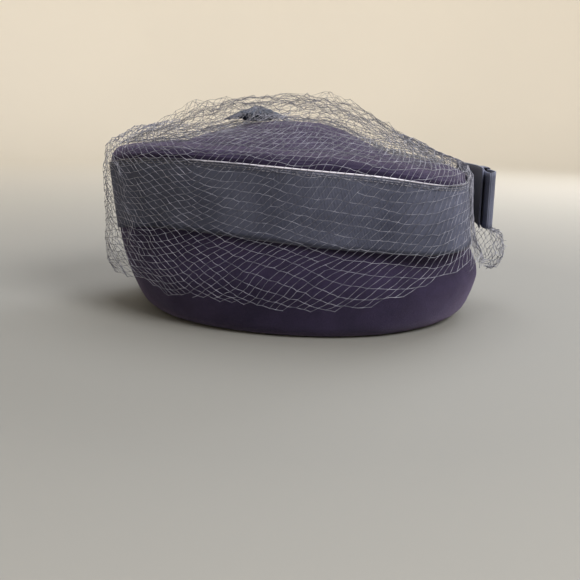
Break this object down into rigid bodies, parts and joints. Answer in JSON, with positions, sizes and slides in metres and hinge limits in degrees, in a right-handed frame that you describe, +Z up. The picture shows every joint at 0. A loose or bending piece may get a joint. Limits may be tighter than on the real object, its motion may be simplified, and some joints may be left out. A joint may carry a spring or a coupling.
{
  "type": "pillbox hat with veil",
  "caption": "Soft blocked felt pillbox hat with a rounded crown, a wide ribbed ribbon band, a flat bow at the back and a netting veil over the whole.",
  "frame": {"origin": "middle of the whole footprint, on the surface that the hem rests on", "axes": "+X to the back of the head, where the bow is; +Z up; the face side is at -X"},
  "size_m": [0.2796, 0.2256, 0.1449],
  "materials": {
    "felt": "fine wool felt in dark aubergine, brushed nap with a soft purple bloom",
    "grosgrain": "slate navy grosgrain, fine ribs across the ribbon, soft satin sheen",
    "netting": "blue-grey diamond veil netting of glossy fine thread"
  },
  "bodies": {
    "root": {"felt_body": "felt", "ribbon_band": "grosgrain", "bow_base": "grosgrain", "bow_loops": "grosgrain", "bow_knot": "grosgrain", "veil_drape": "netting", "veil_gather": "netting", "veil_tuft": "netting"}
  },
  "joints": []
}
